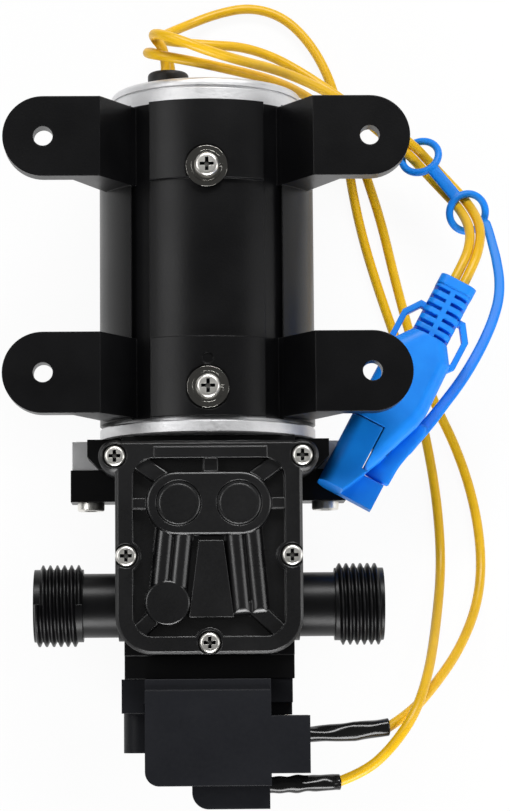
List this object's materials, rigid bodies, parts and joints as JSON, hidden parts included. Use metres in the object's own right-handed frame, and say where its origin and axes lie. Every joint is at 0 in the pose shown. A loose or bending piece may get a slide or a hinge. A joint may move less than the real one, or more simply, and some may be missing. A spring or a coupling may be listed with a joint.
{
  "type": "diaphragm water pump",
  "caption": "Electric diaphragm water pump lying on its back: motor in an eared mounting sleeve, threaded side ports, pressure switch, and wires to an inline fuse holder.",
  "frame": {"origin": "on the bench under the middle of the pump, without its loose wires and what is on them", "axes": "+X across the pump, towards its inlet port; +Y along the motor from the pressure switch to the motor's rear end; +Z out of the mounting face"},
  "size_m": [0.1308, 0.2188, 0.0612],
  "materials": {
    "aluminium": "cast and turned aluminium",
    "bearing_steel": "bearing steel",
    "black_rubber": "black rubber",
    "black_steel": "blackened steel",
    "bracket_plastic": "satin moulded black plastic",
    "brass": "brass",
    "button_plastic": "natural acetal",
    "carbon": "carbon",
    "copper": "copper",
    "ferrite": "ferrite",
    "fuse_plastic": "clear coloured plastic",
    "holder_blue": "glossy moulded blue plastic",
    "housing_plastic": "satin moulded black plastic",
    "lamination": "stacked sheet steel",
    "nickel": "nickel-plated steel",
    "plate_plastic": "moulded plastic",
    "shrink_black": "glossy heat-shrink sleeve",
    "steel": "zinc-plated steel",
    "switch_plastic": "matt dark grey-black plastic",
    "valve_rubber": "soft rubber",
    "yellow_insulation": "smooth soft insulation"
  },
  "bodies": {
    "pump": {"blade_fuse": "fuse_plastic", "bracket_flat_washers": "nickel", "bracket_screws": "nickel", "bracket_spring_washers": "nickel", "brush_plate": "plate_plastic", "brush_springs": "brass", "cap_strap": "holder_blue", "carbon_brushes": "carbon", "cover_gasket": "black_rubber", "cover_screws": "black_steel", "diaphragm": "black_rubber", "flange_bolts": "nickel", "front_bearing": "bearing_steel", "fuse_contacts": "brass", "fuse_holder_body": "holder_blue", "fuse_strain_relief": "holder_blue", "holder_wire": "yellow_insulation", "microswitch_body": "switch_plastic", "motor_can": "steel", "motor_end_cap": "aluminium", "motor_flange": "aluminium", "motor_magnets": "ferrite", "motor_tie_bolts": "steel", "motor_wire": "yellow_insulation", "mounting_bracket": "bracket_plastic", "pump_cover": "housing_plastic", "pump_housing": "housing_plastic", "rear_bearing": "bearing_steel", "shrink_sleeve_lower": "shrink_black", "shrink_sleeve_upper": "shrink_black", "switch_body": "switch_plastic", "switch_cover": "switch_plastic", "switch_diaphragm": "black_rubber", "switch_long_screws": "nickel", "switch_short_screws": "nickel", "switch_spring": "bearing_steel", "switch_wire": "yellow_insulation", "terminal_lower": "brass", "terminal_upper": "brass", "valve_plate": "plate_plastic", "wire_grommet": "black_rubber"},
    "rotor": {"motor_shaft": "steel", "armature_core": "lamination", "armature_windings": "copper", "commutator": "copper", "crank_eccentric": "steel", "crank_bearing": "bearing_steel"},
    "rod": {"connecting_rod": "aluminium", "diaphragm_clamp": "plate_plastic", "clamp_screw": "nickel"},
    "inlet_flap": {"inlet_valve": "valve_rubber"},
    "outlet_flap": {"outlet_valve": "valve_rubber"},
    "piston": {"switch_piston": "button_plastic"},
    "button": {"microswitch_button": "button_plastic"},
    "adjuster": {"adjusting_screw": "brass"},
    "holder_cap": {"fuse_cap": "holder_blue"}
  },
  "joints": [
    {"name": "motor_spin", "type": "hinge", "parent": "pump", "child": "rotor", "pos_m": [0, 0.04, 0.0282], "axis": [0, 1, 0], "continuous": true},
    {"name": "crank_pin", "type": "hinge", "parent": "rotor", "child": "rod", "pos_m": [0, -0.0184, 0.0294], "axis": [0, 1, 0], "continuous": true},
    {"name": "inlet_valve_lift", "type": "slide", "parent": "pump", "child": "inlet_flap", "axis": [0, 0, -1], "range_m": [0, 0.0008], "stiffness_N_per_m": 60},
    {"name": "outlet_valve_lift", "type": "slide", "parent": "pump", "child": "outlet_flap", "axis": [0, 0, 1], "range_m": [0, 0.0008], "stiffness_N_per_m": 60},
    {"name": "piston_slide", "type": "slide", "parent": "pump", "child": "piston", "axis": [0, -1, 0], "range_m": [0, 0.0008], "stiffness_N_per_m": 3000, "deforming": ["switch_spring"]},
    {"name": "button_press", "type": "slide", "parent": "pump", "child": "button", "axis": [0, -1, 0], "range_m": [0, 0.0008]},
    {"name": "adjuster_turn", "type": "hinge", "parent": "pump", "child": "adjuster", "pos_m": [-0.0092, -0.0792, 0.02], "axis": [0, 1, 0], "range_deg": [-360, 360]},
    {"name": "cap_pull", "type": "slide", "parent": "pump", "child": "holder_cap", "axis": [-0.4743, -0.8742, 0.1045], "range_m": [0, 0.012], "deforming": ["cap_strap"]}
  ],
  "couplings": [
    {"joint": "crank_pin", "follows": "motor_spin", "ratio": -1},
    {"joint": "button_press", "follows": "piston_slide", "ratio": 1}
  ]
}
